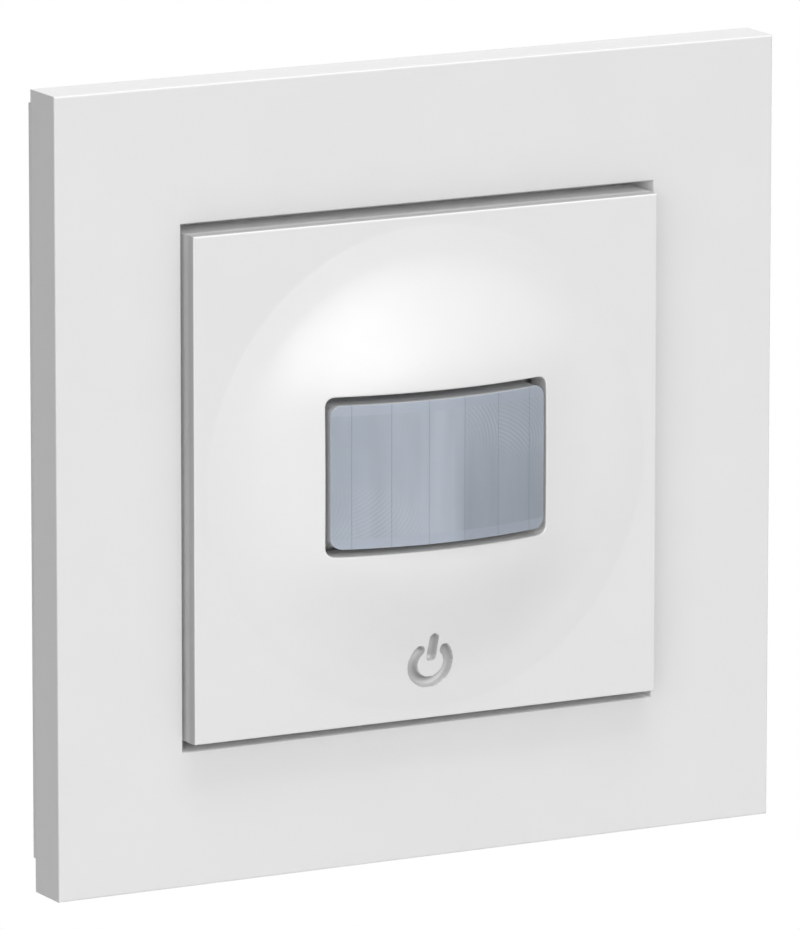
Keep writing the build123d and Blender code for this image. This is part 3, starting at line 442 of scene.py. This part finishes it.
def moulded(name, color, roughness, grain=0.35, edge=0.00012, speckle=0.03, painted_shading=None):
    """Moulded plastic: fine grain, faint cloudiness of tone and of gloss, edges softened by the mould,
    and painted light and shade by place where asked."""
    mat, tree, shader = new_material(name, color, roughness)
    clouds = noise(tree, cloud_scale, detail=4.0)
    darker = tuple(channel * (1 - speckle) for channel in color)
    tint = mix_colors(tree, ramp(tree, clouds, *mid_noise, 0.0, 1.0), darker, color)
    # painted light and shade by place, where asked
    if painted_shading:
        tint = painted_shading(tree, tint)
    tree.links.new(tint, shader.inputs["Base Color"])
    vary_gloss(tree, shader, noise(tree, flow_scale, detail=5.0), roughness, plastic_gloss_shares)
    bump(tree, shader, noise(tree, grain_scale, detail=2.0), grain, grain_relief, edge)
    shader.inputs["IOR"].default_value = plastic_index
    return mat


def brushed(name, color, roughness, direction=(1.0, 1.0, 40.0), edge=0.0001, stain=0.12):
    """Drawn or plated metal with fine lines along the sheet, and faint stains."""
    mat, tree, shader = new_material(name, color, roughness, metallic=1.0)
    lines = noise(tree, flow_scale, detail=6.0, roughness=0.65, stretch=direction)
    stains = noise(tree, stain_scale, detail=5.0)
    darker = tuple(channel * (1 - stain) for channel in color)
    tint = mix_colors(tree, ramp(tree, stains, *stain_noise, 1.0, 0.0), darker, color)
    tree.links.new(tint, shader.inputs["Base Color"])
    vary_gloss(tree, shader, lines, roughness, metal_gloss_shares)
    bump(tree, shader, lines, line_strength, line_relief, edge)
    return mat


def circuit_board(name):
    """Green solder resist with the copper's tracks and pads showing through it."""
    mat, tree, shader = new_material(name, board_green, board_roughness)
    cells = tree.nodes.new("ShaderNodeTexVoronoi")
    cells.distance = "MANHATTAN"
    cells.inputs["Scale"].default_value = board_cell_scale
    tree.links.new(object_space(tree), cells.inputs["Vector"])
    tracks = ramp(tree, cells.outputs["Distance"], *track_edge, 0.0, 1.0)
    weave = noise(tree, weave_scale, detail=2.0)
    base = mix_colors(tree, tracks, *board_tones)
    tint = mix_colors(tree, ramp(tree, weave, *patch_noise, 0.0, weave_share), base, weave_tone)
    tree.links.new(tint, shader.inputs["Base Color"])
    bump(tree, shader, maths(tree, "ADD", tracks, weave), track_strength, track_relief)
    return mat


def wound_wire(name):
    """Enamelled copper wire, with its turns as fine ridges."""
    mat, tree, shader = new_material(name, wire_copper, wire_roughness, wire_metallic)
    turns = tree.nodes.new("ShaderNodeTexWave")
    turns.bands_direction = "Y"
    turns.inputs["Scale"].default_value = turn_scale
    turns.inputs["Distortion"].default_value = turn_distortion
    tree.links.new(object_space(tree), turns.inputs["Vector"])
    shades = mix_colors(tree, turns.outputs["Fac"], *wire_tones)
    tree.links.new(shades, shader.inputs["Base Color"])
    bump(tree, shader, turns.outputs["Fac"], turn_strength, turn_relief)
    return mat


def lens_rings(tree, x, z, within, number):
    """Ring grooves round a centre that differs from strip to strip, each a rise from 0 to 1."""
    across = maths(tree, "ADD", times(tree, minus(tree, within, 0.5), strip_width), ring_aside)
    swing = times(tree, maths(tree, "SINE", times(tree, number, ring_turn)), ring_swing)
    height = minus(tree, z, swing)
    squares = maths(tree, "ADD", times(tree, across, across), times(tree, height, height))
    return maths(tree, "FRACT", maths(tree, "DIVIDE", maths(tree, "SQRT", squares), groove_pitch))


def lens_plastic(name):
    """Milky blue-grey lens sheet: seven strips with fine ring grooves, clear bands above and below,
    with painted light, shade and highlights over them.
    """
    mat, tree, shader = new_material(name, lens_base, lens_roughness)
    place = split(tree, object_space(tree))
    x = times(tree, place[0], 1 / MM)
    z = minus(tree, times(tree, place[2], 1 / MM), window_up)
    strips = maths(tree, "ADD", maths(tree, "DIVIDE", x, strip_width), 0.5)
    number = maths(tree, "FLOOR", strips)
    within = maths(tree, "FRACT", strips)
    from_centre = size_of(tree, minus(tree, within, 0.5))
    from_line = times(tree, minus(tree, 0.5, from_centre), strip_width)
    line = ramp(tree, from_line, 0.0, strip_line, 1.0, 0.0)
    band_start = lens_half_z - lens_border
    band = ramp(tree, size_of(tree, z), band_start, band_start + border_blend, 0.0, 1.0)
    clear = minus(tree, 1.0, band)
    rings = lens_rings(tree, x, z, within, number)
    # soft upright streaks of painted light from the facets behind, painted light on the strips at the middle,
    # painted shade at one side
    streaks = noise(tree, streak_scale, detail=2.0, stretch=streak_stretch)
    patches = noise(tree, patch_scale)
    dull = ramp(tree, patches, *mid_noise, patch_least_share, 1.0)
    shade = times(tree, ramp(tree, streaks, *mid_noise, 0.0, 1.0), dull)
    bright = ramp(tree, streaks, *painted_light_streaks, painted_light_least_share, 1.0)
    painted_light = times(tree, ramp(tree, x, *painted_light_zone, 0.0, 1.0), bright)
    painted_shade = ramp(tree, x, strip_width / 2 - painted_shade_before, strip_width / 2 + painted_shade_after, 0.0, 1.0)
    painted_shade = times(tree, painted_shade, ramp(tree, z, *painted_shade_zone, 1.0, painted_shade_top_share))
    body = mix_colors(tree, shade, *lens_tones)
    body = mix_colors(tree, painted_light, body, lens_painted_light)
    body = mix_colors(tree, painted_shade, body, mix_colors(tree, shade, *lens_painted_shade_tones))
    body = mix_colors(tree, times(tree, band, border_share), body, mix_colors(tree, painted_shade, *border_tones))
    # painted highlight on the ring ridges, most at the upper strips of one side and the lower ones of the
    # other
    shown = ramp(tree, times(tree, x, z), *ring_zone, 0.0, 1.0)
    shown = times(tree, shown, ramp(tree, patches, *patch_noise, ring_least_share, 1.0))
    crest = times(tree, times(tree, ramp(tree, rings, *ring_ridge, 0.0, 1.0), shown), clear)
    body = mix_colors(tree, times(tree, crest, ring_crest_highlight_share), body, ring_crest_painted_highlight)
    body = mix_colors(tree, times(tree, line, line_share), body, line_color)
    # the cut edges of the sheet are milky
    cut = ramp(tree, size_of(tree, facing(tree)[1]), *cut_facing, 1.0, 0.0)
    tree.links.new(mix_colors(tree, cut, body, cut_color), shader.inputs["Base Color"])
    relief = minus(tree, times(tree, times(tree, rings, clear), ring_relief_share), line)
    bump(tree, shader, relief, lens_strength, groove_relief)
    shader.inputs["IOR"].default_value = plastic_index
    shader.inputs["Subsurface Weight"].default_value = scatter_share
    shader.inputs["Subsurface Radius"].default_value = scatter_reach
    shader.inputs["Subsurface Scale"].default_value = 1.0
    return mat


def clear_glass(name, color, alpha):
    """Clear glass or resin, seen through at a share set by its alpha, with faint swirls."""
    mat, tree, shader = new_material(name, color, glass_roughness)
    shader.inputs["Alpha"].default_value = alpha
    bump(tree, shader, noise(tree, swirl_scale), swirl_strength, line_relief)
    return mat


def ferrite(name):
    """Sintered core: dull near-black with coarse pores."""
    mat, tree, shader = new_material(name, core_grey, core_roughness)
    pores = noise(tree, pore_scale, detail=6.0, roughness=0.7)
    tint = mix_colors(tree, ramp(tree, pores, *pore_noise, 0.0, 1.0), *core_tones)
    tree.links.new(tint, shader.inputs["Base Color"])
    bump(tree, shader, pores, pore_strength, pore_relief)
    return mat


def dome_height(x, z):
    """The dome above the key's front, in millimetres, for arrays of points."""
    reach = np.maximum(np.hypot(x, z), tiny)
    across, up = x / reach, z / reach
    edge = ((np.abs(across) / crown_half_x) ** crown_power + (np.abs(up) / crown_half_z) ** crown_power)
    edge = edge ** (-1 / crown_power)

    def crown(px, pz):
        return dome_rise - px * px / (2 * dome_side_radius) - pz * pz / (2 * dome_upright_radius)

    ex, ez = across * edge, up * edge
    start = crown(ex, ez)
    start_slope = -(ex**2 / dome_side_radius + ez**2 / dome_upright_radius) / edge
    end = dome_rim_width * dome_rim_slope
    span = dome_radius - dome_rim_width - edge
    t = np.clip((reach - edge) / span, 0, 1)
    flank = (2 * t**3 - 3 * t**2 + 1) * start + (3 * t**2 - 2 * t**3) * end
    flank += ((t**3 - 2 * t**2 + t) * start_slope - (t**3 - t**2) * dome_rim_slope) * span
    height = np.where(reach <= edge, crown(x, z), flank)
    return np.where(reach >= dome_radius - dome_rim_width, (dome_radius - reach) * dome_rim_slope, height)


def window_distance(x, z):
    """How far a point lies outside the window's outline, in millimetres."""
    dx = np.abs(x) - (window_half_x - window_corner)
    dz = np.abs(z - window_up) - (window_half_z - window_corner)
    outside = np.hypot(np.maximum(dx, 0), np.maximum(dz, 0))
    return outside + np.minimum(np.maximum(dx, dz), 0) - window_corner


def symbol_sink(x, z):
    """The depth of the symbol's rounded groove, in millimetres."""
    px, pz = x, z + symbol_down
    reach = np.hypot(px, pz)
    angle = np.degrees(np.arctan2(np.abs(px), pz))
    lean = math.radians(symbol_gap_angle)
    end_x, end_z = symbol_radius * math.sin(lean), symbol_radius * math.cos(lean)
    ring = np.where(angle >= symbol_gap_angle, np.abs(reach - symbol_radius),
                    np.hypot(np.abs(px) - end_x, pz - end_z))
    bar = np.hypot(px, pz - np.clip(pz, *symbol_bar))
    near = np.minimum(ring, bar) / symbol_half_stroke
    return symbol_depth * np.clip(1 - near**2, 0, 1) ** symbol_wall_power


def window_reach(angle):
    """The distance from the plate's centre to the window's outline at each angle."""
    low = np.zeros_like(angle)
    high = np.full_like(angle, dome_radius)
    for _ in range(outline_halvings):
        middle = (low + high) / 2
        inside = window_distance(middle * np.cos(angle), middle * np.sin(angle)) < 0
        low = np.where(inside, middle, low)
        high = np.where(inside, high, middle)
    return (low + high) / 2


def dome_patch():
    """The key's dome as a dense mesh from the window's wall to the rim, with the symbol's groove."""
    fine = np.arange(-90 - fine_sector, -90 + fine_sector, fine_step)
    coarse = np.arange(-90 + fine_sector, 270 - fine_sector - coarse_step / 2, coarse_step)
    angle = np.radians(np.concatenate([fine, coarse]))
    inner = window_reach(angle)
    rows = [inner + window_lip * share for share in lip_shares]
    count = int((dome_radius - crown_half_z) / ring_step)
    for index in range(1, count + 1):
        rows.append(inner + window_lip + (dome_radius - inner - window_lip) * index / count)
    rows.append(np.full_like(angle, dome_radius + rim_apron))
    wall_foot = [inner * np.cos(angle), np.full_like(angle, -window_wall_end), inner * np.sin(angle)]
    points = [np.column_stack(wall_foot)]
    for reach in rows:
        x, z = reach * np.cos(angle), reach * np.sin(angle)
        # the rounding is measured square to the window's outline
        edge = np.clip(window_distance(x, z), 0, window_lip)
        drop = window_lip - np.sqrt(np.maximum(window_lip**2 - (window_lip - edge) ** 2, 0))
        height = key_front + np.maximum(dome_height(x, z), apron_lift) - drop - symbol_sink(x, z)
        points.append(np.column_stack([x, -height, z]))
    columns = len(angle)
    faces = []
    for row in range(len(points) - 1):
        for column in range(columns):
            after = (column + 1) % columns
            a, b = row * columns + column, row * columns + after
            faces.append((a, b, b + columns, a + columns))
    mesh = bpy.data.meshes.new("key_dome")
    mesh.from_pydata((np.concatenate(points) * MM).tolist(), [], faces)
    mesh.validate()
    return mesh


def without_dome(source):
    """A copy of the key's own mesh without the faces that the dense patch takes over."""
    made = bmesh.new()
    made.from_mesh(source)
    made.normal_update()
    doomed = []
    for face in made.faces:
        centre = face.calc_center_median() / MM
        out = -centre.y
        reach = math.hypot(centre.x, centre.z)
        x, z = np.array(centre.x), np.array(centre.z)
        surface = key_front + float(dome_height(x, z))
        lowest = min(-v.co.y for v in face.verts) / MM
        on_dome = reach < dome_radius and out > surface - dome_skin and lowest > key_front - front_skin
        beside = abs(float(window_distance(x, z))) < window_wall_reach
        above_foot = out > window_wall_end + window_wall_spare
        on_wall = beside and above_foot and abs(face.normal.y) < upright_limit
        if on_dome or on_wall:
            doomed.append(face)
    bmesh.ops.delete(made, geom=doomed, context="FACES")
    mesh = bpy.data.meshes.new("key_rest")
    made.to_mesh(mesh)
    made.free()
    return mesh


def joined(name, *meshes):
    """Several meshes as one object."""
    made = bmesh.new()
    for mesh in meshes:
        made.from_mesh(mesh)
    mesh = bpy.data.meshes.new(name)
    made.to_mesh(mesh)
    made.free()
    piece = bpy.data.objects.new(name, mesh)
    bpy.context.scene.collection.objects.link(piece)
    return piece


def soften(piece, angle):
    """Smooth shading over a piece, with edges kept above an angle."""
    for polygon in piece.data.polygons:
        polygon.use_smooth = True
    piece.data.set_sharp_from_angle(angle=math.radians(angle))


def copy_of(name, source):
    """A visible copy of a node's mesh under a name of its own."""
    piece = bpy.data.objects.new(name, source.data.copy())
    bpy.context.scene.collection.objects.link(piece)
    piece.data.materials.clear()
    return piece


def dress(piece, material):
    """One material on the whole piece."""
    piece.data.materials.clear()
    piece.data.materials.append(material)


def area_light(name, place, size, height, power):
    """A soft box at a place, turned to the object."""
    data = bpy.data.lights.new(name, "AREA")
    data.shape = "RECTANGLE"
    data.size = size
    data.size_y = height
    data.energy = power
    lamp = bpy.data.objects.new(name, data)
    bpy.context.scene.collection.objects.link(lamp)
    lamp.location = place
    lamp.rotation_euler = (-Vector(place)).to_track_quat("-Z", "Y").to_euler()


def set_world(level):
    """An even pale room, seen as pure white by the camera and in reflections."""
    world = bpy.data.worlds.new("room")
    bpy.context.scene.world = world
    world.use_nodes = True
    tree = world.node_tree
    room = tree.nodes["Background"]
    room.inputs["Color"].default_value = full_white
    room.inputs["Strength"].default_value = level
    backdrop = tree.nodes.new("ShaderNodeBackground")
    backdrop.inputs["Color"].default_value = full_white
    backdrop.inputs["Strength"].default_value = 1.0
    path = tree.nodes.new("ShaderNodeLightPath")
    seen = maths(tree, "MAXIMUM", path.outputs["Is Camera Ray"], path.outputs["Is Transmission Ray"])
    seen = maths(tree, "MAXIMUM", seen, path.outputs["Is Glossy Ray"])
    mixed = tree.nodes.new("ShaderNodeMixShader")
    tree.links.new(seen, mixed.inputs[0])
    tree.links.new(room.outputs[0], mixed.inputs[1])
    tree.links.new(backdrop.outputs[0], mixed.inputs[2])
    tree.links.new(mixed.outputs[0], tree.nodes["World Output"].inputs["Surface"])


def set_camera():
    """The photograph's camera."""
    data = bpy.data.cameras.new("camera")
    data.sensor_fit = "AUTO"
    data.sensor_width = sensor_size
    data.lens = camera_lens
    data.clip_start = camera_near
    camera = bpy.data.objects.new("camera", data)
    bpy.context.scene.collection.objects.link(camera)
    axes = Matrix((camera_right, -camera_down, -camera_forward)).transposed()
    camera.matrix_world = Matrix.Translation(camera_place) @ axes.to_4x4()
    bpy.context.scene.camera = camera


def make_floor():
    """A plain pale floor below the object."""
    mesh = bpy.data.meshes.new("floor")
    corners = [(x * floor_half, y * floor_half, -floor_down) for x, y in ((-1, -1), (1, -1), (1, 1), (-1, 1))]
    mesh.from_pydata(corners, [], [(0, 1, 2, 3)])
    floor = bpy.data.objects.new("floor", mesh)
    bpy.context.scene.collection.objects.link(floor)
    mat, tree, shader = new_material("floor_paint", floor_color, floor_roughness)
    tint = mix_colors(tree, noise(tree, floor_scale), *floor_tones)
    tree.links.new(tint, shader.inputs["Base Color"])
    dress(floor, mat)


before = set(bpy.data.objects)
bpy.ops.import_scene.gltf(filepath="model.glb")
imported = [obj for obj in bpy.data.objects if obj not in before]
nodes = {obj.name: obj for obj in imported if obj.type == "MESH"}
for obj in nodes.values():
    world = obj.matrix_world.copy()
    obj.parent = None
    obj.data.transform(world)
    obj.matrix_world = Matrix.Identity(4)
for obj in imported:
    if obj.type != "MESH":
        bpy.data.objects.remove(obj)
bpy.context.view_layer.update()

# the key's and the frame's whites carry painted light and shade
white_gloss = moulded("white_gloss", white, 0.36, grain=0.12, edge=0.0, speckle=0.012, painted_shading=key_painted_shading)
white_frame = moulded("white_frame", white, 0.36, grain=0.12, edge=0.0001, speckle=0.012, painted_shading=frame_painted_shading)
white_matte = moulded("white_matte", (0.88, 0.88, 0.88), 0.5, grain=0.4)
grey_plastic = moulded("grey_plastic", (0.16, 0.165, 0.175), 0.5)
insert_grey = moulded("insert_grey", (0.34, 0.35, 0.36), 0.5)
terminal_grey = moulded("terminal_grey", (0.2, 0.205, 0.21), 0.45)
black_plastic = moulded("black_plastic", (0.018, 0.018, 0.02), 0.45, speckle=0.2)
red_plastic = moulded("red_plastic", (0.42, 0.03, 0.025), 0.4, speckle=0.1)
blue_plastic = moulded("blue_plastic", (0.025, 0.1, 0.4), 0.4, speckle=0.1)
yellow_plastic = moulded("yellow_plastic", (0.7, 0.42, 0.03), 0.4, speckle=0.08)
orange_plastic = moulded("orange_plastic", (0.72, 0.2, 0.03), 0.4, speckle=0.08)
clear_plastic = clear_glass("clear_plastic", (0.85, 0.85, 0.8), 0.55)
filter_dark = clear_glass("filter_dark", (0.03, 0.03, 0.035), 0.95)
fuse_glass = clear_glass("fuse_glass", (0.8, 0.86, 0.84), 0.5)
can_metal = brushed("can_metal", (0.72, 0.72, 0.73), 0.28, (1.0, 12.0, 1.0))
contact_brass = brushed("contact_brass", (0.8, 0.6, 0.25), 0.25)
zinc_steel = brushed("zinc_steel", (0.6, 0.61, 0.63), 0.38, (1.0, 1.0, 14.0), stain=0.2)
spring_steel = brushed("spring_steel", (0.55, 0.55, 0.57), 0.25, (14.0, 1.0, 1.0))
screw_steel = brushed("screw_steel", (0.66, 0.66, 0.68), 0.3, (1.0, 10.0, 1.0), stain=0.15)
board = circuit_board("board")
core = ferrite("core")
winding = wound_wire("winding")
lens_sheet = lens_plastic("lens_sheet")

looks = {
    white_frame: ["cover_frame"],
    white_matte: ["frame_carrier", "module_front", "module_back"],
    grey_plastic: ["lux_dial", "time_dial"],
    insert_grey: ["insert_housing", "insert_lid"],
    terminal_grey: ["terminal_block", "release_guide"],
    black_plastic: ["pir_spacer", "switch_body", "control_chip", "plug_header", "socket_strip", "relay"],
    red_plastic: ["switch_plunger"],
    blue_plastic: ["trimmer_bodies", "varistor"],
    yellow_plastic: ["film_capacitor"],
    orange_plastic: [name for name in nodes if name.startswith("release_button")],
    clear_plastic: ["light_sensor", "status_led"],
    filter_dark: ["pir_filter"],
    fuse_glass: ["fuse"],
    can_metal: ["pir_can", "pir_leads", "board_capacitors", "storage_capacitor"],
    contact_brass: ["plug_pins"],
    zinc_steel: ["support_ring", "claw_left", "claw_right", "clamp_springs"],
    spring_steel: ["key_spring_left", "key_spring_right"],
    screw_steel: ["module_screws", "ring_screws", "claw_screw_left", "claw_screw_right"],
    board: ["sensor_board", "power_board"],
    core: ["choke_core"],
    winding: ["choke_winding"],
    lens_sheet: ["fresnel_lens"],
    white_gloss: ["key_plate"],
}
for material, names in looks.items():
    for name in names:
        dress(nodes[name], material)

key_shell = joined("key_shell", without_dome(nodes["key_plate"].data), dome_patch())
soften(key_shell, key_smooth)
dress(key_shell, white_gloss)
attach(key_shell, "key")
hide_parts("key_plate")

lens_piece = copy_of("lens_piece", nodes["fresnel_lens"])
soften(lens_piece, piece_smooth)
dress(lens_piece, lens_sheet)
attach(lens_piece, "device")
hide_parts("fresnel_lens")

for side in ("left", "right"):
    spring = copy_of(f"spring_{side}", nodes[f"key_spring_{side}"])
    soften(spring, piece_smooth)
    dress(spring, spring_steel)
    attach(spring, "device")
    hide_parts(f"key_spring_{side}")
    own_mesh(spring)

make_floor()
set_world(room_light)
for name, box in soft_boxes.items():
    area_light(name, *box)
set_camera()
bpy.context.scene.view_settings.view_transform = "Standard"
